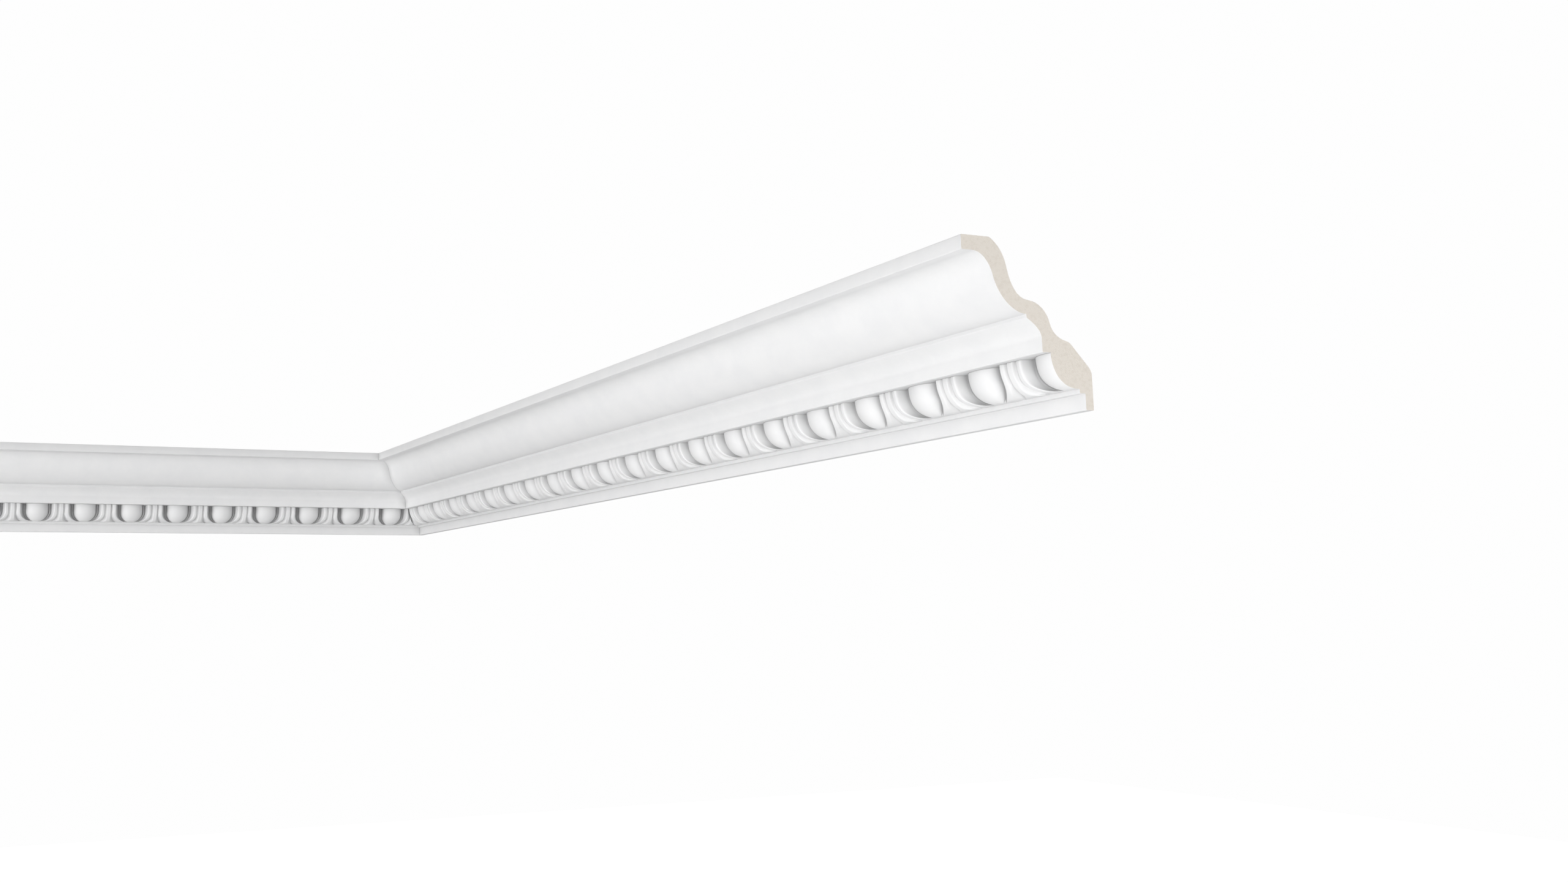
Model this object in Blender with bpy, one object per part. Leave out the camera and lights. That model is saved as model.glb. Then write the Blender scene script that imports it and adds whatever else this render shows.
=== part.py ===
"""Ceiling coving with an egg and dart course, in two lengths mitred in an inside corner.

Everything is first worked out in room coordinates: the side wall is the plane X = 0, the
back wall is the plane Y = 0, and the ceiling is the plane Z = 0. The side length runs
along Y to a square cut end, and the back length runs along X. In a section, "out" is the
distance from the wall and "drop" is the distance below the ceiling.
"""

import math

import bmesh
import bpy
from mathutils import Vector

# Overall sizes, in metres
HEIGHT = 0.130
PROJECTION = 0.120
SIDE_LENGTH = 1.522
BACK_LENGTH = 0.760
MITRE_GAP = 0.0003

# Heights of the members, top to bottom. The cyma takes up what is left.
LIP_FACE = 0.0115
LEDGE_FACE = 0.0028
CAVETTO_HEIGHT = 0.0154
FLAT_FACE = 0.0105
OVOLO_HEIGHT = 0.0270
FILLET_FACE = 0.0035
WALL_BAND_FACE = 0.0130

# Depths of the members, from the wall outwards. The cyma takes up what is left.
WALL_BAND_DEPTH = 0.0075
FILLET_DEPTH = 0.0055
BASE_DEPTH = 0.0050
OVOLO_DEPTH = 0.0223
SOFFIT_DEPTH = 0.0072
CAVETTO_DEPTH = 0.0137
LIP_SOFFIT = 0.0098

# The cyma turns from hollow to round at these shares of its depth and height
CYMA_TURN_DEPTH = 0.615
CYMA_TURN_HEIGHT = 0.41

# Slopes along the front, in degrees: 0 runs towards the wall and 90 runs down
CYMA_TURN_SLOPE = 76
CAVETTO_TOP_SLOPE = 31

# How far each curve keeps to its two end slopes, as shares of its chord
CYMA_HOLLOW_PULLS = (0.31, 0.46)
CYMA_ROUND_PULLS = (0.30, 0.37)
CAVETTO_PULLS = (0.34, 0.32)
BACK_PULLS = (0.38, 0.38)

# The back of the moulding, which follows the front
CEILING_SEAT = 0.0266
WALL_SEAT = 0.0285
SHELL_AT_CYMA = 0.0132
SHELL_AT_LEDGE = 0.0110
SHELL_AT_FLAT = 0.0086
SHELL_AT_SOFFIT = 0.0100

# The back's straight splay: how far it starts below the soffit bend, and the round at its foot
SPLAY_FALL = 0.0025
SPLAY_ROUND_DEPTH = 0.0045
SPLAY_ROUND_HEIGHT = 0.0073

# Places of the back's bends, as shares of the member in front of each
CYMA_BEND_HEIGHT = 0.483
LEDGE_BEND_DEPTH = 0.16
FLAT_BEND_HEIGHT = 0.80
SOFFIT_BEND_DEPTH = 0.30
SPLAY_TOP_DEPTH = 0.05

# Slopes of the back at the ceiling seat, at each bend and at the wall seat
CEILING_SEAT_SLOPE = 32
CYMA_BEND_SLOPE = 78
LEDGE_BEND_SLOPE = 3
FLAT_BEND_SLOPE = 76
SOFFIT_BEND_SLOPE = 14
WALL_SEAT_SLOPE = 80

# Egg and dart course: its pitch, and where the last egg stands from each end
EGG_PITCH = 0.0749
SIDE_EGG_FROM_CUT = 0.0057
BACK_EGG_FROM_CORNER = 0.0680
EGG_CUT = 0.0120
CHANNEL_CUT = 0.0134
HUSK_SHOULDER_CUT = 0.0012
VALLEY_CUT = 0.0024
POCKET_CUT = 0.0110
GROUND_CLEARANCE = 0.0003

# Columns of the course, as shares of the pitch from an egg's middle to the dart's middle
EGG_MIDDLE = 0.0
EGG_SHOULDER = 0.16
EGG_FLANK = 0.215
EGG_EDGE = 0.240
CHANNEL_FAR = 0.280
HUSK_SHOULDER = 0.343
HUSK_INNER = 0.357
HUSK_OUTER = 0.402
VALLEY = 0.441
DART_EDGE = 0.464
DART_MIDDLE = 0.5
COLUMNS = (EGG_MIDDLE, EGG_SHOULDER, EGG_FLANK, EGG_EDGE, CHANNEL_FAR, HUSK_SHOULDER,
           HUSK_INNER, HUSK_OUTER, VALLEY, DART_EDGE, DART_MIDDLE)

# Rows of the course, as shares of the quarter turn from the soffit to the base
ROWS = (0.0, 0.20, 0.38, 0.54, 0.69, 0.82, 0.92, 1.0)

# The valley sinks into a pocket between these rows, and leans towards the husk as it sinks
POCKET_START = 0.40
POCKET_END = 0.84
POCKET_LEAN = 0.6

# The dart's crest widens to a foot below this row, to this share of the pitch each side
DART_FOOT_START = 0.82
DART_FOOT = 0.095

# Where the U shapes start to turn in, and where they would close, as shares of the height
TURN_START = 0.43
TURN_CLOSE = 1.026
ROUNDNESS = ((EGG_EDGE, 2.0), (HUSK_INNER, 2.6), (HUSK_OUTER, 3.4))

# Facets along each curve of the plain members, and the least angle that shows as an arris
CURVE_STEPS = 6
ARRIS_ANGLE = 32
CUT_TOLERANCE = 1e-7

WHITE_COAT = (0.90, 0.90, 0.895, 1.0)
COAT_ROUGHNESS = 0.55

# Levels and distances that several members share
SOFFIT_DROP = HEIGHT - WALL_BAND_FACE - FILLET_FACE - OVOLO_HEIGHT
BASE_DROP = SOFFIT_DROP + OVOLO_HEIGHT
CAVETTO_DROP = SOFFIT_DROP - FLAT_FACE
LEDGE_DROP = CAVETTO_DROP - CAVETTO_HEIGHT - LEDGE_FACE
FILLET_OUT = WALL_BAND_DEPTH + FILLET_DEPTH
BASE_OUT = FILLET_OUT + BASE_DEPTH
OVOLO_OUT = BASE_OUT + OVOLO_DEPTH
FLAT_OUT = OVOLO_OUT + SOFFIT_DEPTH
LEDGE_OUT = FLAT_OUT + CAVETTO_DEPTH
CYMA_OUT = PROJECTION - LIP_SOFFIT
CYMA_TURN_OUT = LEDGE_OUT + CYMA_TURN_DEPTH * (CYMA_OUT - LEDGE_OUT)


def clear_scene():
    """Remove every object of the open file."""
    for old in list(bpy.data.objects):
        bpy.data.objects.remove(old, do_unlink=True)


def curve(start, start_slope, end, end_slope, pulls):
    """Points of a cubic curve after its start, given its slopes at both ends."""
    reach = (Vector(end) - Vector(start)).length
    handles = []
    for slope, pull in zip((start_slope, end_slope), pulls):
        angle = math.radians(slope)
        handles.append(Vector((-math.cos(angle), math.sin(angle))) * reach * pull)
    first, last = Vector(start) + handles[0], Vector(end) - handles[1]
    points = []
    for step in range(1, CURVE_STEPS + 1):
        t = step / CURVE_STEPS
        near, far = 1.0 - t, t
        point = (Vector(start) * near ** 3 + first * 3 * near * near * far
                 + last * 3 * near * far * far + Vector(end) * far ** 3)
        points.append((point.x, point.y))
    return points


def front_outline():
    """Section from the lip's top edge down to the soffit's front edge, as (out, drop)."""
    cyma_turn = (CYMA_TURN_OUT, LIP_FACE + CYMA_TURN_HEIGHT * (LEDGE_DROP - LIP_FACE))
    points = [(PROJECTION, 0.0), (PROJECTION, LIP_FACE), (CYMA_OUT, LIP_FACE)]
    points += curve(points[-1], 0, cyma_turn, CYMA_TURN_SLOPE, CYMA_HOLLOW_PULLS)
    points += curve(cyma_turn, CYMA_TURN_SLOPE, (LEDGE_OUT, LEDGE_DROP), 0, CYMA_ROUND_PULLS)
    points.append((LEDGE_OUT, LEDGE_DROP + LEDGE_FACE))
    points += curve(points[-1], CAVETTO_TOP_SLOPE, (FLAT_OUT, CAVETTO_DROP), 90, CAVETTO_PULLS)
    points.append((FLAT_OUT, SOFFIT_DROP))
    return points


def back_outline():
    """Section from the wall band's foot round the hollow back to the ceiling seat."""
    seat_top = (0.0, HEIGHT - WALL_SEAT)
    ledge_bend_drop = LEDGE_DROP - SHELL_AT_LEDGE
    soffit_bend_drop = SOFFIT_DROP - SHELL_AT_SOFFIT
    splay_top = (BASE_OUT + SPLAY_TOP_DEPTH * OVOLO_DEPTH, soffit_bend_drop + SPLAY_FALL)
    splay_foot = (SPLAY_ROUND_DEPTH, seat_top[1] - SPLAY_ROUND_HEIGHT)
    splay = math.atan2(splay_foot[1] - splay_top[1], splay_top[0] - splay_foot[0])
    splay_slope = math.degrees(splay)
    bends = [
        (PROJECTION - CEILING_SEAT, 0.0, CEILING_SEAT_SLOPE),
        (CYMA_TURN_OUT - SHELL_AT_CYMA, CYMA_BEND_HEIGHT * ledge_bend_drop, CYMA_BEND_SLOPE),
        (LEDGE_OUT - LEDGE_BEND_DEPTH * CAVETTO_DEPTH, ledge_bend_drop, LEDGE_BEND_SLOPE),
        (FLAT_OUT - SHELL_AT_FLAT, CAVETTO_DROP - FLAT_BEND_HEIGHT * CAVETTO_HEIGHT,
         FLAT_BEND_SLOPE),
        (BASE_OUT + SOFFIT_BEND_DEPTH * OVOLO_DEPTH, soffit_bend_drop, SOFFIT_BEND_SLOPE),
        (*splay_top, splay_slope),
    ]
    wave = [bends[0][:2]]
    for (*start, start_slope), (*end, end_slope) in zip(bends, bends[1:]):
        wave += curve(start, start_slope, end, end_slope, BACK_PULLS)
    wave.append(splay_foot)
    wave += curve(splay_foot, splay_slope, seat_top, WALL_SEAT_SLOPE, BACK_PULLS)
    return [(WALL_BAND_DEPTH, HEIGHT), (0.0, HEIGHT)] + wave[::-1]


def between(marks, share):
    """Value at a share, in proportion between the marks round it. A mark is (share, value)."""
    if share <= marks[0][0]:
        return marks[0][1]
    for (near, near_value), (far, far_value) in zip(marks, marks[1:]):
        if share <= far:
            return near_value + (far_value - near_value) * (share - near) / (far - near)
    return marks[-1][1]


def closing_in(share, row):
    """How far a U-shaped line of the course has closed towards the egg's middle at a row."""
    drop_share = math.sin(row * math.pi / 2)
    if drop_share <= TURN_START:
        return 1.0
    turned = (drop_share - TURN_START) / (TURN_CLOSE - TURN_START)
    power = between(ROUNDNESS, share)
    return (1.0 - turned ** power) ** (1.0 / power)


def pocket_sunk(row):
    """How far the valley has sunk into its pocket at a row, from 0 to 1."""
    return min(1.0, max(0.0, (row - POCKET_START) / (POCKET_END - POCKET_START)))


def column_place(share, row):
    """Distance from the egg's middle of a column at a row, as a share of the pitch."""
    if share <= HUSK_OUTER:
        return share * closing_in(share, row)
    husk = HUSK_OUTER * closing_in(HUSK_OUTER, row)
    spread = max(0.0, row - DART_FOOT_START) / (1.0 - DART_FOOT_START)
    half_dart = DART_MIDDLE - DART_EDGE
    half_dart += (DART_FOOT - half_dart) * spread
    edge = DART_MIDDLE - half_dart
    if share <= DART_EDGE:
        part = (share - HUSK_OUTER) / (DART_EDGE - HUSK_OUTER)
        return husk + (edge - husk) * part ** (1.0 + POCKET_LEAN * pocket_sunk(row))
    return between(((DART_EDGE, edge), (DART_MIDDLE, DART_MIDDLE)), share)


def column_depth(share, row):
    """How deep a column is cut behind the ovolo at a row."""
    closing = closing_in(EGG_EDGE, row)
    if share <= EGG_EDGE:
        return closing * EGG_CUT * (1.0 - math.sqrt(1.0 - (share / EGG_EDGE) ** 2))
    fading = 1.0 - row ** 3
    return between((
        (EGG_EDGE, closing * EGG_CUT),
        (CHANNEL_FAR, CHANNEL_CUT * fading),
        (HUSK_SHOULDER, HUSK_SHOULDER_CUT * fading),
        (HUSK_INNER, 0.0),
        (HUSK_OUTER, 0.0),
        (VALLEY, VALLEY_CUT + (POCKET_CUT - VALLEY_CUT) * pocket_sunk(row)),
        (DART_EDGE, 0.0)), share)


def course_point(share, row):
    """Section point of the course at a column and row, as (out, drop)."""
    angle = row * math.pi / 2
    out = BASE_OUT + OVOLO_DEPTH * math.cos(angle)
    drop = SOFFIT_DROP + OVOLO_HEIGHT * math.sin(angle)
    deepest = max(0.0, out - FILLET_OUT - GROUND_CLEARANCE)
    return out - min(column_depth(share, row), deepest), drop


def course_columns(first_egg, start, stop):
    """Column lines of the course between two places on the run, past both of them."""
    lines = []
    pattern = list(COLUMNS[::-1][:-1]) + list(COLUMNS[:-1])
    signs = [-1] * (len(COLUMNS) - 1) + [1] * (len(COLUMNS) - 1)
    egg = math.floor((start - first_egg) / EGG_PITCH) - 1
    last = math.ceil((stop - first_egg) / EGG_PITCH) + 1
    while egg <= last:
        middle = first_egg + egg * EGG_PITCH
        for share, sign in zip(pattern, signs):
            line = []
            for row in ROWS:
                out, drop = course_point(share, row)
                line.append((middle + sign * column_place(share, row) * EGG_PITCH, out, drop))
            lines.append(line)
        egg += 1
    return lines


def cut_and_cap(mesh, point, normal):
    """Cut a closed bmesh by a plane, drop what lies along the normal and close the cut."""
    everything = mesh.verts[:] + mesh.edges[:] + mesh.faces[:]
    bmesh.ops.bisect_plane(mesh, geom=everything, dist=CUT_TOLERANCE, plane_co=point,
                           plane_no=normal, clear_outer=True)
    rim = [edge for edge in mesh.edges if len(edge.link_faces) == 1]
    bmesh.ops.holes_fill(mesh, edges=rim, sides=0)


def moulded_length(name, length, first_egg, to_room, coat):
    """One length of the moulding as a closed solid, square at its start and mitred at its end.

    to_room turns (run, out, drop) into room coordinates.
    """
    spare = 2 * EGG_PITCH
    mesh = bmesh.new()

    def corner(run, out, drop):
        return mesh.verts.new((run, out, drop))

    lines = course_columns(first_egg, -spare, length + spare)
    start, stop = lines[0][0][0], lines[-1][0][0]
    course = [[corner(*place) for place in line] for line in lines]
    for line, following in zip(course, course[1:]):
        for row in range(len(ROWS) - 1):
            mesh.faces.new((line[row], following[row], following[row + 1], line[row + 1]))

    front = front_outline()
    lower = [(FILLET_OUT, BASE_DROP), (FILLET_OUT, BASE_DROP + FILLET_FACE),
             (WALL_BAND_DEPTH, BASE_DROP + FILLET_FACE)] + back_outline()
    chains = []
    for outline in (front, lower):
        near = [corner(start, *place) for place in outline]
        far = [corner(stop, *place) for place in outline]
        for step in range(len(outline) - 1):
            mesh.faces.new((near[step], far[step], far[step + 1], near[step + 1]))
        chains.append((near, far))
    (front_near, front_far), (lower_near, lower_far) = chains
    mesh.faces.new((front_near[0], front_far[0], lower_far[-1], lower_near[-1]))

    top_row = [line[0] for line in course]
    base_row = [line[-1] for line in course]
    mesh.faces.new([front_near[-1], front_far[-1]] + top_row[::-1])
    mesh.faces.new([lower_far[0], lower_near[0]] + base_row)
    mesh.faces.new(front_near + course[0] + lower_near)
    mesh.faces.new((front_far + course[-1] + lower_far)[::-1])

    cut_and_cap(mesh, (0, 0, 0), (-1, 0, 0))
    setback = MITRE_GAP / 2
    mitre = Vector((1, 1, 0)).normalized()
    cut_and_cap(mesh, Vector((length, 0, 0)) - mitre * setback, mitre)

    for vertex in mesh.verts:
        vertex.co = to_room(*vertex.co)
    bmesh.ops.recalc_face_normals(mesh, faces=mesh.faces)
    if mesh.calc_volume(signed=True) < 0.0:
        bmesh.ops.reverse_faces(mesh, faces=mesh.faces)
    data = bpy.data.meshes.new(name)
    mesh.to_mesh(data)
    mesh.free()
    data.materials.append(coat)
    data.shade_smooth()
    data.set_sharp_from_angle(angle=math.radians(ARRIS_ANGLE))
    piece = bpy.data.objects.new(name, data)
    bpy.context.collection.objects.link(piece)
    return piece


def white_coat():
    """The factory's matt white coat."""
    coat = bpy.data.materials.new("white_coat")
    coat.use_nodes = True
    shader = coat.node_tree.nodes["Principled BSDF"]
    shader.inputs["Base Color"].default_value = WHITE_COAT
    shader.inputs["Roughness"].default_value = COAT_ROUGHNESS
    shader.inputs["Metallic"].default_value = 0.0
    return coat


def main():
    """Build both lengths and set the origin in the middle of the side length's wall face."""
    clear_scene()
    coat = white_coat()
    side = moulded_length(
        "side_length", SIDE_LENGTH, SIDE_EGG_FROM_CUT,
        lambda run, out, drop: (-out, run - SIDE_LENGTH, -drop), coat)
    back = moulded_length(
        "back_length", BACK_LENGTH, BACK_LENGTH - BACK_EGG_FROM_CORNER,
        lambda run, out, drop: (run - BACK_LENGTH, -out, -drop), coat)
    wall_seat = Vector((0.0, -SIDE_LENGTH / 2, WALL_SEAT / 2 - HEIGHT))
    for piece in (side, back):
        piece.location = -wall_seat


main()
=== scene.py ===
"""Looks of a ceiling coving with an egg and dart course, in two lengths mitred in a corner.

A section is worked out as (out, drop): the distance from the wall and the distance below
the ceiling. A length is first made along X, as (run, out, drop), with run counted from its
square cut end, and is then turned onto its wall.
"""
import logging
import math
from collections.abc import Callable
from dataclasses import dataclass, field
from enum import Enum

import bpy
from mathutils import Matrix, Vector


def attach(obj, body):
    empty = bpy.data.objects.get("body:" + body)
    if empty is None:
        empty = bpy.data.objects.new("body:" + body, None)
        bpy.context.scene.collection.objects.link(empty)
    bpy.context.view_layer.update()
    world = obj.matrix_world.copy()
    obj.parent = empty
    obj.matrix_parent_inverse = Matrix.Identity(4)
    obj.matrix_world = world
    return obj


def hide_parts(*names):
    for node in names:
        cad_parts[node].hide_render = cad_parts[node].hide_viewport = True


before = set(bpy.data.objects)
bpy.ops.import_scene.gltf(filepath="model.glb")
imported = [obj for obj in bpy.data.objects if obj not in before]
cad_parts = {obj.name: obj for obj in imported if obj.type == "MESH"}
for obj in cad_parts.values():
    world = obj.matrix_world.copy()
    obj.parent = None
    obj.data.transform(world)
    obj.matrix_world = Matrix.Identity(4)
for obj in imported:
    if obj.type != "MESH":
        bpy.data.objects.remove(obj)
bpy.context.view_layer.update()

log = logging.getLogger("coving")

Outline = list[tuple[float, float]]
Colour = tuple[float, float, float, float]
# Metres within which two places count as one, and the cosine above which two directions do
TOUCHING = 1e-6
FACING = 0.999


class Wall(Enum):
    """The wall that a length of the moulding runs along."""

    SIDE = "side"
    BACK = "back"


class Slot(Enum):
    """Material slots of a length, in their order on the mesh."""

    COAT = 0
    CORE = 1


class Light(Enum):
    """The studio's lamps: where each stands from the coving, in metres, and its watts and size."""

    LEVEL = ((-4.0, -1.0, -0.9), 84.0, 2.4)
    CLOSE = ((-0.5, -2.1, -0.8), 13.0, 0.8)
    CUT = ((0.8, -2.0, -1.1), 7.0, 0.8)
    LEFT = ((-2.2, -0.6, -0.6), 5.0, 1.0)
    LOW = ((-1.6, -0.8, -2.9), 4.0, 2.0)
    REAR = ((3.2, 1.6, 1.8), 40.0, 3.0)


def smooth_step(value: float) -> float:
    """Ease a value from 0 to 1, level at both ends."""
    held = min(1.0, max(0.0, value))
    return held * held * (3.0 - 2.0 * held)


def select_nothing() -> None:
    """Leave every object unselected and no object in edit mode."""
    if bpy.context.object is not None and bpy.context.object.mode != "OBJECT":
        bpy.ops.object.mode_set(mode="OBJECT")
    bpy.ops.object.select_all(action="DESELECT")


def edit_only(piece: bpy.types.Object) -> None:
    """Open one object in edit mode with nothing selected on it.

    Args:
        piece: the object to work on.
    """
    select_nothing()
    bpy.context.view_layer.objects.active = piece
    piece.select_set(True)
    bpy.ops.object.mode_set(mode="EDIT")
    bpy.ops.mesh.select_all(action="DESELECT")


def leave_edit() -> None:
    """Return to object mode."""
    bpy.ops.object.mode_set(mode="OBJECT")


@dataclass(frozen=True)
class WhiteCoat:
    """The factory's matt white coat over the foam."""

    name: str = "white_coat"
    light: Colour = (0.90, 0.90, 0.902, 1.0)
    shade: Colour = (0.875, 0.877, 0.883, 1.0)
    shade_to_light: tuple[float, float] = (0.35, 0.62)
    roughness: tuple[float, float] = (0.50, 0.62)
    specular: float = 0.35
    mottle_scale: float = 38.0
    mottle_detail: float = 5.0
    mottle_roughness: float = 0.6
    grain_scale: float = 1300.0
    grain_detail: float = 3.0
    sag_scale: float = 160.0
    sag_detail: float = 2.0
    grain_height: float = 0.00004
    sag_height: float = 0.00012
    # Painted shade in recesses: occlusion samples, reach, the occlusion level where darkening
    # starts, and the darkest colour factor
    recess_shade_samples: int = 8
    recess_shade_reach: float = 0.016
    recess_shade_from: float = 0.25
    recess_shade_darkest: float = 0.62

    def material(self) -> bpy.types.Material:
        """Make the coat: faint mottling, fine grain, a slight sag, and painted shade that darkens
        the colour in recesses.

        Returns:
            The finished material.
        """
        made = bpy.data.materials.new(self.name)
        made.use_nodes = True
        nodes, links = made.node_tree.nodes, made.node_tree.links
        shader = nodes["Principled BSDF"]
        shader.inputs["Metallic"].default_value = 0.0
        shader.inputs["Specular IOR Level"].default_value = self.specular
        place = nodes.new("ShaderNodeTexCoord")

        mottle = nodes.new("ShaderNodeTexNoise")
        mottle.inputs["Scale"].default_value = self.mottle_scale
        mottle.inputs["Detail"].default_value = self.mottle_detail
        mottle.inputs["Roughness"].default_value = self.mottle_roughness
        links.new(place.outputs["Object"], mottle.inputs["Vector"])
        tint = nodes.new("ShaderNodeValToRGB")
        for stop, position, colour in zip(tint.color_ramp.elements, self.shade_to_light,
                                          (self.shade, self.light)):
            stop.position, stop.color = position, colour
        links.new(mottle.outputs["Fac"], tint.inputs["Fac"])
        # Painted shade: ambient occlusion darkens the coat's base colour in recesses, creases and
        # inner corners
        occlusion = nodes.new("ShaderNodeAmbientOcclusion")
        occlusion.samples = self.recess_shade_samples
        occlusion.inputs["Distance"].default_value = self.recess_shade_reach
        painted_shade = nodes.new("ShaderNodeMapRange")
        painted_shade.inputs["From Min"].default_value = self.recess_shade_from
        painted_shade.inputs["From Max"].default_value = 1.0
        painted_shade.inputs["To Min"].default_value = self.recess_shade_darkest
        painted_shade.inputs["To Max"].default_value = 1.0
        links.new(occlusion.outputs["AO"], painted_shade.inputs["Value"])
        shaded_colour = nodes.new("ShaderNodeVectorMath")
        shaded_colour.operation = "SCALE"
        links.new(tint.outputs["Color"], shaded_colour.inputs[0])
        links.new(painted_shade.outputs["Result"], shaded_colour.inputs["Scale"])
        links.new(shaded_colour.outputs["Vector"], shader.inputs["Base Color"])

        sheen = nodes.new("ShaderNodeMapRange")
        sheen.inputs["To Min"].default_value = self.roughness[0]
        sheen.inputs["To Max"].default_value = self.roughness[1]
        links.new(mottle.outputs["Fac"], sheen.inputs["Value"])
        links.new(sheen.outputs["Result"], shader.inputs["Roughness"])

        grain = nodes.new("ShaderNodeTexNoise")
        grain.inputs["Scale"].default_value = self.grain_scale
        grain.inputs["Detail"].default_value = self.grain_detail
        sag = nodes.new("ShaderNodeTexNoise")
        sag.inputs["Scale"].default_value = self.sag_scale
        sag.inputs["Detail"].default_value = self.sag_detail
        first = nodes.new("ShaderNodeBump")
        first.inputs["Distance"].default_value = self.grain_height
        second = nodes.new("ShaderNodeBump")
        second.inputs["Distance"].default_value = self.sag_height
        for noise, bump in ((grain, first), (sag, second)):
            links.new(place.outputs["Object"], noise.inputs["Vector"])
            links.new(noise.outputs["Fac"], bump.inputs["Height"])
        links.new(first.outputs["Normal"], second.inputs["Normal"])
        links.new(second.outputs["Normal"], shader.inputs["Normal"])
        return made


@dataclass(frozen=True)
class FoamCore:
    """The hard cream foam that shows where a length is cut."""

    name: str = "foam_core"
    light: Colour = (0.905, 0.848, 0.772, 1.0)
    shade: Colour = (0.865, 0.805, 0.725, 1.0)
    shade_to_light: tuple[float, float] = (0.36, 0.5)
    roughness: float = 0.9
    specular: float = 0.15
    cell_scale: float = 900.0
    cell_depth: float = 0.0003
    cell_strength: float = 0.5
    speck_scale: float = 420.0
    speck_detail: float = 4.0

    def material(self) -> bpy.types.Material:
        """Make the sawn foam: fine cells with darker specks between them.

        Returns:
            The finished material.
        """
        made = bpy.data.materials.new(self.name)
        made.use_nodes = True
        nodes, links = made.node_tree.nodes, made.node_tree.links
        shader = nodes["Principled BSDF"]
        shader.inputs["Roughness"].default_value = self.roughness
        shader.inputs["Specular IOR Level"].default_value = self.specular
        place = nodes.new("ShaderNodeTexCoord")

        cells = nodes.new("ShaderNodeTexVoronoi")
        cells.feature = "DISTANCE_TO_EDGE"
        cells.inputs["Scale"].default_value = self.cell_scale
        links.new(place.outputs["Object"], cells.inputs["Vector"])
        specks = nodes.new("ShaderNodeTexNoise")
        specks.inputs["Scale"].default_value = self.speck_scale
        specks.inputs["Detail"].default_value = self.speck_detail
        links.new(place.outputs["Object"], specks.inputs["Vector"])
        tint = nodes.new("ShaderNodeValToRGB")
        for stop, position, colour in zip(tint.color_ramp.elements, self.shade_to_light,
                                          (self.shade, self.light)):
            stop.position, stop.color = position, colour
        links.new(specks.outputs["Fac"], tint.inputs["Fac"])
        links.new(tint.outputs["Color"], shader.inputs["Base Color"])
        bump = nodes.new("ShaderNodeBump")
        bump.inputs["Distance"].default_value = self.cell_depth
        bump.inputs["Strength"].default_value = self.cell_strength
        links.new(cells.outputs["Distance"], bump.inputs["Height"])
        links.new(bump.outputs["Normal"], shader.inputs["Normal"])
        return made


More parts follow.
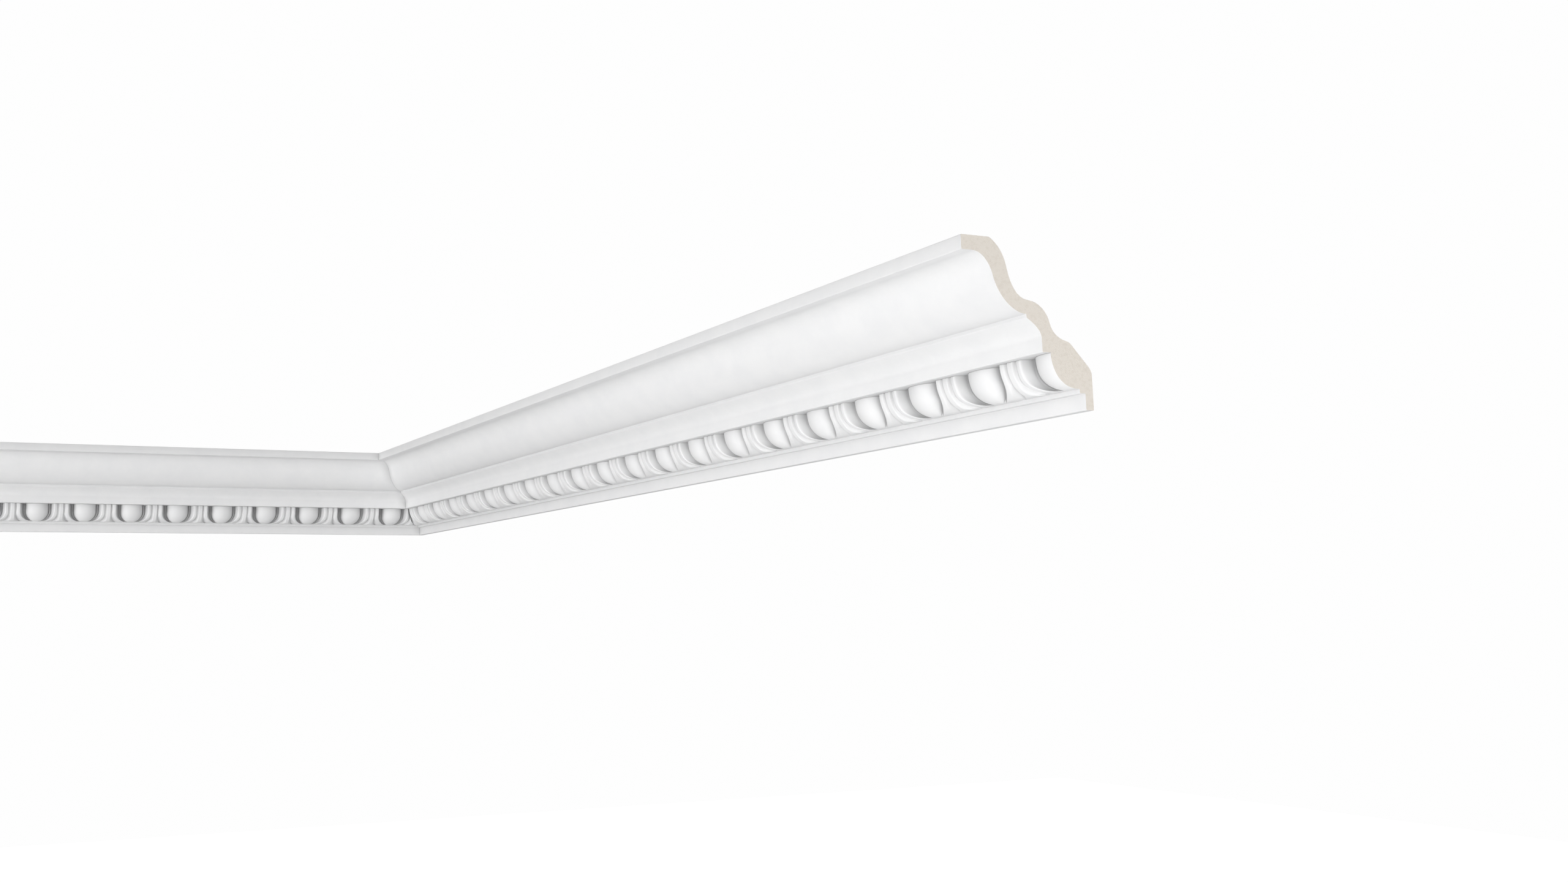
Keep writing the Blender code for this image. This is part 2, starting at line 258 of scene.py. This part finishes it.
@dataclass
class CovingSection:
    """The plain members of the section, top to bottom, and the hollow back behind them."""

    height: float = 0.130
    projection: float = 0.120
    lip_face: float = 0.0115
    lip_soffit: float = 0.0098
    ledge_face: float = 0.0028
    cavetto: tuple[float, float] = (0.0137, 0.0154)
    flat_face: float = 0.0105
    soffit_depth: float = 0.0072
    ovolo: tuple[float, float] = (0.0223, 0.0270)
    base_depth: float = 0.0050
    fillet_depth: float = 0.0055
    fillet_face: float = 0.0035
    wall_band: tuple[float, float] = (0.0075, 0.0130)
    cyma_turn: tuple[float, float] = (0.615, 0.41)
    cyma_turn_slope: float = 76.0
    cavetto_top_slope: float = 31.0
    cavetto_foot_slope: float = 90.0
    cyma_hollow_pulls: tuple[float, float] = (0.31, 0.46)
    cyma_round_pulls: tuple[float, float] = (0.30, 0.37)
    cavetto_pulls: tuple[float, float] = (0.34, 0.32)
    back_pulls: tuple[float, float] = (0.38, 0.38)
    ceiling_seat: float = 0.0266
    wall_seat: float = 0.0285
    shells: tuple[float, float, float, float] = (0.0132, 0.0110, 0.0086, 0.0100)
    splay_fall: float = 0.0025
    splay_round: tuple[float, float] = (0.0045, 0.0073)
    bend_places: tuple[float, ...] = (0.483, 0.16, 0.80, 0.30, 0.05)
    bend_slopes: tuple[float, ...] = (32.0, 78.0, 3.0, 76.0, 14.0, 80.0)
    front_steps: int = 14
    back_steps: int = 8

    def __post_init__(self) -> None:
        """Work out the levels and distances that several members share."""
        self.soffit_drop = self.height - self.wall_band[1] - self.fillet_face - self.ovolo[1]
        self.base_drop = self.soffit_drop + self.ovolo[1]
        self.cavetto_drop = self.soffit_drop - self.flat_face
        self.ledge_drop = self.cavetto_drop - self.cavetto[1] - self.ledge_face
        self.fillet_out = self.wall_band[0] + self.fillet_depth
        self.base_out = self.fillet_out + self.base_depth
        self.ovolo_out = self.base_out + self.ovolo[0]
        self.flat_out = self.ovolo_out + self.soffit_depth
        self.ledge_out = self.flat_out + self.cavetto[0]
        self.cyma_out = self.projection - self.lip_soffit
        self.turn_out = self.ledge_out + self.cyma_turn[0] * (self.cyma_out - self.ledge_out)

    def curve(self, start: tuple[float, float], start_slope: float, end: tuple[float, float],
              end_slope: float, pulls: tuple[float, float], steps: int) -> Outline:
        """Points of a cubic curve after its start.

        Args:
            start: first point, as (out, drop).
            start_slope: slope there in degrees: 0 runs towards the wall, 90 runs down.
            end: last point.
            end_slope: slope at the last point.
            pulls: how far the curve keeps to its end slopes, as shares of its chord.
            steps: number of points.

        Returns:
            The points, with the end and without the start.
        """
        first, last = Vector(start), Vector(end)
        reach = (last - first).length
        slopes = [math.radians(slope) for slope in (start_slope, end_slope)]
        away = [Vector((-math.cos(slope), math.sin(slope))) * reach * pull
                for slope, pull in zip(slopes, pulls)]
        points = []
        for step in range(1, steps + 1):
            far = step / steps
            near = 1.0 - far
            point = (first * near ** 3 + (first + away[0]) * 3 * near * near * far
                     + (last - away[1]) * 3 * near * far * far + last * far ** 3)
            points.append((point.x, point.y))
        return points

    def front(self) -> Outline:
        """Section from the lip's top edge down to the soffit's front edge.

        Returns:
            The points in order.
        """
        turn_drop = self.lip_face + self.cyma_turn[1] * (self.ledge_drop - self.lip_face)
        turn = (self.turn_out, turn_drop)
        points = [(self.projection, 0.0), (self.projection, self.lip_face),
                  (self.cyma_out, self.lip_face)]
        points += self.curve(points[-1], 0.0, turn, self.cyma_turn_slope,
                             self.cyma_hollow_pulls, self.front_steps)
        points += self.curve(turn, self.cyma_turn_slope, (self.ledge_out, self.ledge_drop), 0.0,
                             self.cyma_round_pulls, self.front_steps)
        points.append((self.ledge_out, self.ledge_drop + self.ledge_face))
        points += self.curve(points[-1], self.cavetto_top_slope, (self.flat_out, self.cavetto_drop),
                             self.cavetto_foot_slope, self.cavetto_pulls, self.front_steps)
        points.append((self.flat_out, self.soffit_drop))
        return points

    def lower(self) -> Outline:
        """Section from the fillet's top edge round the foot and up the back to the ceiling.

        Returns:
            The points in order.
        """
        foot = self.base_drop + self.fillet_face
        points = [(self.fillet_out, self.base_drop), (self.fillet_out, foot),
                  (self.wall_band[0], foot), (self.wall_band[0], self.height), (0.0, self.height)]
        return points + self.back()[::-1]

    def back(self) -> Outline:
        """Section of the hollow back, from the ceiling seat down to the wall seat.

        Returns:
            The points in order.
        """
        seat_top = (0.0, self.height - self.wall_seat)
        ledge_bend = self.ledge_drop - self.shells[1]
        soffit_bend = self.soffit_drop - self.shells[3]
        cyma, ledge, flat, soffit, splay = self.bend_places
        slopes = self.bend_slopes
        splay_top = (self.base_out + splay * self.ovolo[0], soffit_bend + self.splay_fall)
        splay_foot = (self.splay_round[0], seat_top[1] - self.splay_round[1])
        splay_slope = math.degrees(math.atan2(splay_foot[1] - splay_top[1],
                                              splay_top[0] - splay_foot[0]))
        flat_bend = self.cavetto_drop - flat * self.cavetto[1]
        bends = [
            ((self.projection - self.ceiling_seat, 0.0), slopes[0]),
            ((self.turn_out - self.shells[0], cyma * ledge_bend), slopes[1]),
            ((self.ledge_out - ledge * self.cavetto[0], ledge_bend), slopes[2]),
            ((self.flat_out - self.shells[2], flat_bend), slopes[3]),
            ((self.base_out + soffit * self.ovolo[0], soffit_bend), slopes[4]),
            (splay_top, splay_slope),
        ]
        wave = [bends[0][0]]
        for (start, start_slope), (end, end_slope) in zip(bends, bends[1:]):
            wave += self.curve(start, start_slope, end, end_slope, self.back_pulls, self.back_steps)
        wave.append(splay_foot)
        wave += self.curve(splay_foot, splay_slope, seat_top, slopes[5], self.back_pulls,
                           self.back_steps)
        return wave


@dataclass
class EggAndDart:
    """One repeat of the carved course, from a dart's middle over an egg to the next dart.

    Places across the course are shares of the pitch from the egg's middle. Places down it
    are rows, from 0 at the soffit to 1 at the base. Depths are metres behind the ovolo.
    The channel, husk and valley are given by their two edges, the bead in the channel's
    floor and the foot of the husk's wall by a place and a depth.
    """

    section: CovingSection
    pitch: float = 0.0749
    egg_edge: float = 0.240
    egg_depth: float = 0.0120
    channel: tuple[float, float] = (0.246, 0.284)
    channel_depth: float = 0.0132
    bead: tuple[float, float] = (0.263, 0.0072)
    wall: tuple[float, float] = (0.343, 0.0012)
    husk: tuple[float, float] = (0.357, 0.402)
    husk_crown: float = 0.0003
    valley: tuple[float, float] = (0.435, 0.447)
    valley_depth: float = 0.0024
    dart_edge: float = 0.464
    dart_foot: float = 0.095
    dart_foot_start: float = 0.82
    pocket_start: float = 0.40
    pocket_end: float = 0.78
    pocket_depth: float = 0.0110
    pocket_slope: float = 0.55
    ground_clearance: float = 0.0003
    turn_start: float = 0.43
    turn_close: float = 1.026
    roundness: tuple[float, float, float] = (2.0, 2.6, 3.4)
    pocket_lean: float = 0.6
    arris: float = 0.0005
    crease: float = 0.0040
    crease_samples: tuple[float, ...] = (-1.0, -0.5, 0.0, 0.5, 1.0)
    egg_columns: int = 12
    rows: int = 38
    arris_rows: int = 3

    def closing(self, share: float, row: float) -> float:
        """How far a U-shaped line has closed towards the egg's middle.

        Args:
            share: place of the line at the soffit.
            row: place down the course.

        Returns:
            The factor for its distance from the egg's middle.
        """
        drop_share = math.sin(row * math.pi / 2)
        if drop_share <= self.turn_start:
            return 1.0
        turned = (drop_share - self.turn_start) / (self.turn_close - self.turn_start)
        marks = (self.egg_edge, self.husk[0], self.husk[1])
        power = self.roundness[0]
        for step in (0, 1):
            part = (share - marks[step]) / (marks[step + 1] - marks[step])
            power += min(1.0, max(0.0, part)) * (self.roundness[step + 1] - self.roundness[step])
        return (1.0 - turned ** power) ** (1.0 / power)

    def place(self, share: float, row: float) -> float:
        """Distance of a column from the egg's middle at a row, as a share of the pitch.

        Args:
            share: the column's place at the soffit.
            row: place down the course.

        Returns:
            The distance as a share of the pitch.
        """
        if share <= self.husk[1]:
            return share * self.closing(share, row)
        husk = self.husk[1] * self.closing(self.husk[1], row)
        spread = max(0.0, row - self.dart_foot_start) / (1.0 - self.dart_foot_start)
        edge = self.dart_edge - (self.dart_foot - 0.5 + self.dart_edge) * spread
        if share <= self.dart_edge:
            part = (share - self.husk[1]) / (self.dart_edge - self.husk[1])
            return husk + part ** (1.0 + self.pocket_lean * self.sunk(row)) * (edge - husk)
        return 0.5 - (0.5 - share) / (0.5 - self.dart_edge) * (0.5 - edge)

    def sunk(self, row: float) -> float:
        """How far the valley has sunk into its pocket at a row, from 0 to 1."""
        return smooth_step((row - self.pocket_start) / (self.pocket_end - self.pocket_start))

    def plain_depth(self, share: float, row: float) -> float:
        """Depth of the carving at a column and row, before its creases are rounded.

        Args:
            share: the column's place at the soffit.
            row: place down the course.

        Returns:
            The depth in metres.
        """
        fading = 1.0 - row ** 3
        rim = min(self.closing(self.egg_edge, row) * self.egg_depth, self.channel_depth * fading)
        if share <= self.egg_edge:
            return rim * (1.0 - math.sqrt(1.0 - (share / self.egg_edge) ** 2))
        sunk = self.sunk(row)
        side = self.valley_depth + (self.pocket_depth - self.valley_depth) * sunk
        beside_dart = self.pocket_depth * self.pocket_slope
        slope = self.valley_depth + (beside_dart - self.valley_depth) * sunk
        marks = [(self.egg_edge, rim),
                 (self.channel[0], self.channel_depth * fading),
                 (self.bead[0], self.bead[1] * fading),
                 (self.channel[1], self.channel_depth * fading),
                 (self.wall[0], self.wall[1] * fading),
                 (self.husk[0], 0.0),
                 (self.husk[1], self.husk_crown * fading),
                 (self.valley[0], side),
                 (self.valley[1], slope),
                 (self.dart_edge, 0.0),
                 (0.5, 0.0),
                 (1.0, 0.0)]
        for (near, near_depth), (far, far_depth) in zip(marks, marks[1:]):
            if share <= far:
                return near_depth + (far_depth - near_depth) * (share - near) / (far - near)
        return 0.0

    def depth(self, share: float, row: float) -> float:
        """Depth of the carving with its creases rounded.

        Args:
            share: the column's place at the soffit.
            row: place down the course.

        Returns:
            The depth in metres.
        """
        depths = [self.plain_depth(abs(share + self.crease * sample), row)
                  for sample in self.crease_samples]
        return sum(depths) / len(depths)

    def columns(self) -> list[float]:
        """Places of the columns over half a repeat, closest where the carving turns.

        Returns:
            Shares of the pitch from 0 to 0.5.
        """
        egg = [self.egg_edge * math.sin(step / self.egg_columns * math.pi / 2)
               for step in range(self.egg_columns + 1)]
        channel = [0.243, self.channel[0], 0.250, 0.2545, 0.259, self.bead[0], 0.269, 0.2735, 0.278,
                   self.channel[1], 0.290, 0.300, 0.312, 0.324, 0.334, 0.339, self.wall[0]]
        husk = [0.347, 0.352, self.husk[0], 0.363, 0.372, 0.382, 0.392, 0.398, self.husk[1]]
        valley = [0.407, 0.413, 0.421, 0.429, self.valley[0], 0.441, self.valley[1], 0.451, 0.456,
                  0.460]
        dart = [self.dart_edge, 0.469, 0.475, 0.484, 0.492, 0.5]
        return egg + channel + husk + valley + dart

    def outline(self, share: float) -> list[tuple[float, float, float]]:
        """One column of the course, from the soffit to the base.

        Args:
            share: the column's place at the soffit.

        Returns:
            (distance from the egg's middle, out, drop) of each row.
        """
        part = self.section
        points = []
        for step in range(self.rows + 1):
            row = step / self.rows
            angle = row * math.pi / 2
            out = part.base_out + part.ovolo[0] * math.cos(angle)
            drop = part.soffit_drop + part.ovolo[1] * math.sin(angle)
            deepest = max(0.0, out - part.fillet_out - self.ground_clearance)
            out -= min(self.depth(share, row), deepest)
            points.append((self.place(share, row) * self.pitch, out, drop))
        top = points[0]
        rounded = []
        for step in range(self.arris_rows):
            angle = step / self.arris_rows * math.pi / 2
            rounded.append((top[0], top[1] - self.arris * (1.0 - math.sin(angle)),
                            top[2] + self.arris * (1.0 - math.cos(angle))))
        first = (top[0], top[1], top[2] + self.arris)
        return rounded + [first] + points[1:]

    def build(self) -> bpy.types.Object:
        """Carve the repeat from a grid.

        Returns:
            An open sheet as wide as the pitch, with the egg's middle at run 0.
        """
        half = self.columns()
        lines = [(-1, share) for share in half[:0:-1]] + [(1, share) for share in half]
        outlines = {share: self.outline(share) for share in half}
        across, down = len(lines) - 1, len(outlines[0.0]) - 1
        select_nothing()
        bpy.ops.mesh.primitive_grid_add(x_subdivisions=across, y_subdivisions=down, size=1.0)
        sheet = bpy.context.object
        sheet.name = "course_repeat"
        for vertex in sheet.data.vertices:
            column = round((vertex.co.x + 0.5) * across)
            row = round((0.5 - vertex.co.y) * down)
            sign, share = lines[column]
            run, out, drop = outlines[share][row]
            vertex.co = (sign * run, out, drop)
        return sheet


@dataclass
class MouldedLength:
    """One length of the moulding, square at its start and mitred at its end.

    An edge runs the whole repeat if it spans more than the whole_run share of the pitch.
    """

    name: str
    node: str
    wall: Wall
    length: float
    first_egg: float
    section: CovingSection
    course: EggAndDart
    corner: Vector
    mitre_gap: float = 0.0003
    arris: float = 0.0006
    pocket_arris: float = 0.00024
    arris_angle: float = 28.0
    arris_segments: int = 3
    whole_run: float = 0.9
    weld_distance: float = 1e-5
    smooth_angle: float = 32.0

    def repeat(self) -> bpy.types.Object:
        """Model one repeat of the moulding: the plain members and the carved course.

        Returns:
            An open tube as long as the pitch.
        """
        front, lower = self.section.front(), self.section.lower()
        outline = front + lower
        half = self.course.pitch / 2
        select_nothing()
        bpy.ops.mesh.primitive_circle_add(vertices=len(outline), radius=1.0, fill_type="NOTHING")
        plain = bpy.context.object
        for vertex, (out, drop) in zip(plain.data.vertices, outline):
            vertex.co = (-half, out, drop)
        edit_only(plain)
        bpy.ops.mesh.select_all(action="SELECT")
        bpy.ops.mesh.extrude_region_move(TRANSFORM_OT_translate={"value": (2 * half, 0, 0)})
        leave_edit()
        self._select_faces(plain, lambda face: self._is_chord(plain, face))
        bpy.ops.object.mode_set(mode="EDIT")
        bpy.ops.mesh.delete(type="ONLY_FACE")
        leave_edit()

        sheet = self.course.build()
        select_nothing()
        sheet.select_set(True)
        plain.select_set(True)
        bpy.context.view_layer.objects.active = plain
        bpy.ops.object.join()
        soffit_arris = (self.section.flat_out, self.section.soffit_drop)
        base_arris = (self.section.fillet_out, self.section.base_drop)
        self._close_strip(plain, soffit_arris)
        self._close_strip(plain, base_arris)
        edit_only(plain)
        bpy.ops.mesh.select_all(action="SELECT")
        bpy.ops.mesh.delete_loose(use_verts=True, use_edges=True, use_faces=False)
        leave_edit()
        self._round_arrises(plain)
        return plain

    def _is_chord(self, piece: bpy.types.Object, face: bpy.types.MeshPolygon) -> bool:
        """Whether a face lies across the opening that the carved course fills.

        Args:
            piece: the tube of plain members.
            face: one of its faces.

        Returns:
            True for the face that spans from the soffit's arris to the fillet's.
        """
        outs = [piece.data.vertices[index].co.y for index in face.vertices]
        return (math.isclose(max(outs), self.section.flat_out, abs_tol=TOUCHING)
                and math.isclose(min(outs), self.section.fillet_out, abs_tol=TOUCHING))

    def _select_faces(self, piece: bpy.types.Object,
                      wanted: Callable[[bpy.types.MeshPolygon], bool]) -> None:
        """Select some of a piece's faces, and leave edit mode.

        Args:
            piece: the object that has the faces.
            wanted: says of each face whether it is selected.
        """
        edit_only(piece)
        bpy.ops.mesh.select_mode(type="FACE")
        leave_edit()
        for face in piece.data.polygons:
            face.select = wanted(face)

    def _close_strip(self, piece: bpy.types.Object, arris: tuple[float, float]) -> None:
        """Fill the level strip between a straight arris and the carved sheet's rim.

        Args:
            piece: the open tube.
            arris: (out, drop) of the straight arris.
        """
        edit_only(piece)
        bpy.ops.mesh.select_mode(type="EDGE")
        bpy.ops.mesh.select_non_manifold(extend=False, use_wire=False, use_boundary=True,
                                         use_multi_face=False, use_non_contiguous=False,
                                         use_verts=False)
        leave_edit()
        half = self.course.pitch / 2 - TOUCHING
        vertices = piece.data.vertices
        for edge in piece.data.edges:
            ends = [vertices[index].co for index in edge.vertices]
            level = all(abs(end.z - arris[1]) < TOUCHING for end in ends)
            at_end = all(abs(end.x) > half for end in ends)
            crosswise = at_end and abs(ends[0].x - ends[1].x) < TOUCHING
            edge.select = edge.select and level and not crosswise
        bpy.ops.object.mode_set(mode="EDIT")
        bpy.ops.mesh.edge_face_add()
        leave_edit()

    def _round_arrises(self, piece: bpy.types.Object) -> None:
        """Round every straight arris that runs the whole repeat, the one at the pockets least.

        Args:
            piece: one repeat of the moulding.
        """
        edit_only(piece)
        bpy.ops.mesh.select_all(action="SELECT")
        bpy.ops.mesh.normals_make_consistent(inside=False)
        leave_edit()
        fillet = Vector((self.section.fillet_out, self.section.base_drop))
        for at_fillet, radius in ((False, self.arris), (True, self.pocket_arris)):
            edit_only(piece)
            bpy.ops.mesh.select_mode(type="EDGE")
            bpy.ops.mesh.edges_select_sharp(sharpness=math.radians(self.arris_angle))
            leave_edit()
            vertices = piece.data.vertices
            # A face that stays selected would select its own edges again in edit mode
            for part in (*vertices, *piece.data.polygons):
                part.select = False
            for edge in piece.data.edges:
                ends = [vertices[index].co for index in edge.vertices]
                whole = abs(ends[0].x - ends[1].x) > self.course.pitch * self.whole_run
                beside = (ends[0].yz - fillet).length < TOUCHING
                edge.select = edge.select and whole and beside is at_fillet
            bpy.ops.object.mode_set(mode="EDIT")
            bpy.ops.mesh.bevel(offset=radius, offset_type="OFFSET", segments=self.arris_segments,
                               affect="EDGES", clamp_overlap=False)
            leave_edit()

    def build(self) -> bpy.types.Object:
        """Repeat the moulding, cut both ends and turn the length onto its wall.

        Returns:
            The closed length, in its place.
        """
        piece = self.repeat()
        piece.name = self.name
        pitch = self.course.pitch
        before = math.ceil(self.first_egg / pitch) + 1
        after = math.ceil((self.length - self.first_egg) / pitch) + 1
        edit_only(piece)
        bpy.ops.mesh.select_all(action="SELECT")
        bpy.ops.transform.translate(value=(self.first_egg - before * pitch, 0.0, 0.0))
        leave_edit()
        array = piece.modifiers.new("repeats", "ARRAY")
        array.use_relative_offset = False
        array.use_constant_offset = True
        array.constant_offset_displace = (pitch, 0.0, 0.0)
        array.count = before + after + 1
        array.use_merge_vertices = True
        array.merge_threshold = self.weld_distance
        bpy.ops.object.modifier_apply(modifier=array.name)
        start, outwards = Vector((0, 0, 0)), Vector((-1, 0, 0))
        self._cut(piece, start, outwards)
        self._show_core(piece, start, outwards)
        mitre = Vector((1, 1, 0)).normalized()
        self._cut(piece, Vector((self.length, 0, 0)) - mitre * self.mitre_gap / 2, mitre)
        piece.data.transform(self._placing())
        self._face_outwards(piece)
        bpy.ops.object.shade_smooth_by_angle(angle=math.radians(self.smooth_angle))
        return piece

    def _face_outwards(self, piece: bpy.types.Object) -> None:
        """Make every face of a closed piece point outwards.

        Args:
            piece: the closed length.
        """
        edit_only(piece)
        bpy.ops.mesh.select_all(action="SELECT")
        bpy.ops.mesh.normals_make_consistent(inside=False)
        leave_edit()
        corners = piece.data.vertices
        piece.data.calc_loop_triangles()
        volume = sum(corners[a].co.dot(corners[b].co.cross(corners[c].co))
                     for a, b, c in (triangle.vertices for triangle in piece.data.loop_triangles))
        if volume < 0.0:
            bpy.ops.object.mode_set(mode="EDIT")
            bpy.ops.mesh.select_all(action="SELECT")
            bpy.ops.mesh.flip_normals()
            leave_edit()

    def _cut(self, piece: bpy.types.Object, point: Vector, normal: Vector) -> None:
        """Cut a length by a plane, drop what lies beyond it and close the cut.

        Args:
            piece: the length, still along X.
            point: a point on the plane.
            normal: direction of the part that is dropped.
        """
        edit_only(piece)
        bpy.ops.mesh.select_all(action="SELECT")
        bpy.ops.mesh.bisect(plane_co=point, plane_no=normal, use_fill=False, clear_outer=True,
                            threshold=TOUCHING)
        bpy.ops.mesh.edge_face_add()
        leave_edit()

    def _show_core(self, piece: bpy.types.Object, point: Vector, normal: Vector) -> None:
        """Give the face of a square cut the core's finish.

        Args:
            piece: the length, still along X.
            point: a point on the cut's plane.
            normal: direction that the cut faces.
        """
        while len(piece.data.materials) < len(Slot):
            piece.data.materials.append(None)
        for face in piece.data.polygons:
            on_plane = abs((face.center - point).dot(normal)) < TOUCHING
            if on_plane and abs(face.normal.dot(normal)) > FACING:
                face.material_index = Slot.CORE.value

    def _placing(self) -> Matrix:
        """Where the length goes, for the wall that it runs along.

        Returns:
            The matrix from (run, out, drop) to the frame.
        """
        if self.wall is Wall.SIDE:
            turned = Matrix(((0, -1, 0, 0), (1, 0, 0, -self.length), (0, 0, -1, 0), (0, 0, 0, 1)))
        else:
            turned = Matrix(((1, 0, 0, -self.length), (0, -1, 0, 0), (0, 0, -1, 0), (0, 0, 0, 1)))
        return Matrix.Translation(self.corner) @ turned

    def dress(self, piece: bpy.types.Object, coat: bpy.types.Material,
              core: bpy.types.Material) -> None:
        """Give the length its finishes and tie it to its CAD node.

        Args:
            piece: the closed length.
            coat: finish of the moulded faces.
            core: finish of the cut faces.
        """
        piece.data.materials[Slot.COAT.value] = coat
        piece.data.materials[Slot.CORE.value] = core
        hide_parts(self.node)
        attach(piece, "root")


@dataclass
class Studio:
    """Plain floor, soft light and the camera."""

    floor_drop: float = 3.3
    floor_size: float = 40.0
    floor_base: Colour = (0.3, 0.3, 0.3, 1.0)
    floor_roughness: float = 0.9
    floor_glow: tuple[Colour, Colour] = ((0.93, 0.93, 0.93, 1.0), (0.95, 0.95, 0.95, 1.0))
    floor_noise: float = 1.5
    backdrop: float = 0.99
    ambient: float = 0.29
    camera_place: tuple[float, float, float] = (-0.8596, -1.5942, -0.17105)
    yaw: float = 20.44
    pitch: float = 5.50
    roll: float = -0.84
    lens: float = 32.32
    sensor: float = 36.0
    shift: tuple[float, float] = (0.225, 0.03)

    def build(self) -> None:
        """Set the floor, the world, the lamps and the camera."""
        self._floor()
        self._world()
        for lamp in Light:
            self._lamp(lamp)
        self._camera()
        view = bpy.context.scene.view_settings
        view.view_transform = "Standard"
        view.look = "None"

    def _floor(self) -> None:
        """Lay a plain pale floor well below the coving, which throws no light back up to it."""
        select_nothing()
        bpy.ops.mesh.primitive_plane_add(size=self.floor_size, location=(0, 0, -self.floor_drop))
        floor = bpy.context.object
        floor.name = "studio_floor"
        made = bpy.data.materials.new("studio_floor")
        made.use_nodes = True
        nodes, links = made.node_tree.nodes, made.node_tree.links
        shader = nodes["Principled BSDF"]
        shader.inputs["Base Color"].default_value = self.floor_base
        shader.inputs["Roughness"].default_value = self.floor_roughness
        shader.inputs["Emission Strength"].default_value = 1.0
        place = nodes.new("ShaderNodeTexCoord")
        noise = nodes.new("ShaderNodeTexNoise")
        noise.inputs["Scale"].default_value = self.floor_noise
        links.new(place.outputs["Object"], noise.inputs["Vector"])
        tint = nodes.new("ShaderNodeValToRGB")
        for stop, colour in zip(tint.color_ramp.elements, self.floor_glow):
            stop.color = colour
        links.new(noise.outputs["Fac"], tint.inputs["Fac"])
        links.new(tint.outputs["Color"], shader.inputs["Emission Color"])
        floor.visible_diffuse = False
        floor.visible_glossy = False
        floor.data.materials.append(made)

    def _world(self) -> None:
        """Make a white backdrop that lights the coving only faintly."""
        world = bpy.data.worlds.new("studio")
        bpy.context.scene.world = world
        world.use_nodes = True
        nodes, links = world.node_tree.nodes, world.node_tree.links
        nodes.clear()
        output = nodes.new("ShaderNodeOutputWorld")
        blend = nodes.new("ShaderNodeMixShader")
        path = nodes.new("ShaderNodeLightPath")
        shades = []
        for level in (self.ambient, self.backdrop):
            shade = nodes.new("ShaderNodeBackground")
            shade.inputs["Color"].default_value = (1.0, 1.0, 1.0, 1.0)
            shade.inputs["Strength"].default_value = level
            shades.append(shade)
        links.new(path.outputs["Is Camera Ray"], blend.inputs["Fac"])
        links.new(shades[0].outputs["Background"], blend.inputs[1])
        links.new(shades[1].outputs["Background"], blend.inputs[2])
        links.new(blend.outputs["Shader"], output.inputs["Surface"])

    def _lamp(self, lamp: Light) -> None:
        """Hang one soft lamp that faces the coving.

        Args:
            lamp: which of the studio's lamps.
        """
        place, watts, size = lamp.value
        select_nothing()
        bpy.ops.object.light_add(type="AREA", location=place)
        made = bpy.context.object
        made.name = f"studio_{lamp.name.lower()}"
        made.data.energy = watts
        made.data.size = size
        made.visible_camera = False
        made.rotation_euler = (-Vector(place)).to_track_quat("-Z", "Y").to_euler()

    def _camera(self) -> None:
        """Stand the camera at the photograph's angle."""
        data = bpy.data.cameras.new("camera")
        data.sensor_width = self.sensor
        data.lens = self.lens
        data.shift_x, data.shift_y = self.shift
        camera = bpy.data.objects.new("camera", data)
        bpy.context.scene.collection.objects.link(camera)
        yaw, pitch, roll = (math.radians(angle) for angle in (self.yaw, self.pitch, self.roll))
        forward = Vector((math.sin(yaw) * math.cos(pitch), math.cos(yaw) * math.cos(pitch),
                          math.sin(pitch)))
        right = forward.cross(Vector((0, 0, 1))).normalized()
        up = right.cross(forward)
        rolled = right * math.cos(roll) + up * math.sin(roll)
        lifted = up * math.cos(roll) - right * math.sin(roll)
        turn = Matrix((rolled, lifted, -forward)).transposed()
        camera.matrix_world = Matrix.Translation(self.camera_place) @ turn.to_4x4()
        bpy.context.scene.camera = camera


@dataclass
class Coving:
    """The whole coving: two lengths of the same moulding that meet in the corner."""

    side_length: float = 1.522
    back_length: float = 0.760
    side_egg_from_cut: float = 0.0057
    back_egg_from_corner: float = 0.0680
    corner: Vector = field(default_factory=lambda: Vector((0.0, 0.761, 0.11575)))

    def build(self) -> list[bpy.types.Object]:
        """Make both lengths and dress them.

        Returns:
            The finished pieces.
        """
        section = CovingSection()
        course = EggAndDart(section)
        coat, core = WhiteCoat().material(), FoamCore().material()
        lengths = [
            MouldedLength("side_coving", "side_length", Wall.SIDE, self.side_length,
                          self.side_egg_from_cut, section, course, self.corner),
            MouldedLength("back_coving", "back_length", Wall.BACK, self.back_length,
                          self.back_length - self.back_egg_from_corner, section, course,
                          self.corner),
        ]
        pieces = []
        for length in lengths:
            piece = length.build()
            length.dress(piece, coat, core)
            log.info("%s: %d faces in place of %s", piece.name, len(piece.data.polygons),
                     length.node)
            pieces.append(piece)
        return pieces


def main() -> None:
    """Build the coving and its studio."""
    logging.basicConfig(level=logging.INFO, format="%(name)s: %(message)s")
    pieces = Coving().build()
    Studio().build()
    select_nothing()
    log.info("%d pieces made", len(pieces))


if __name__ == "__main__":
    main()
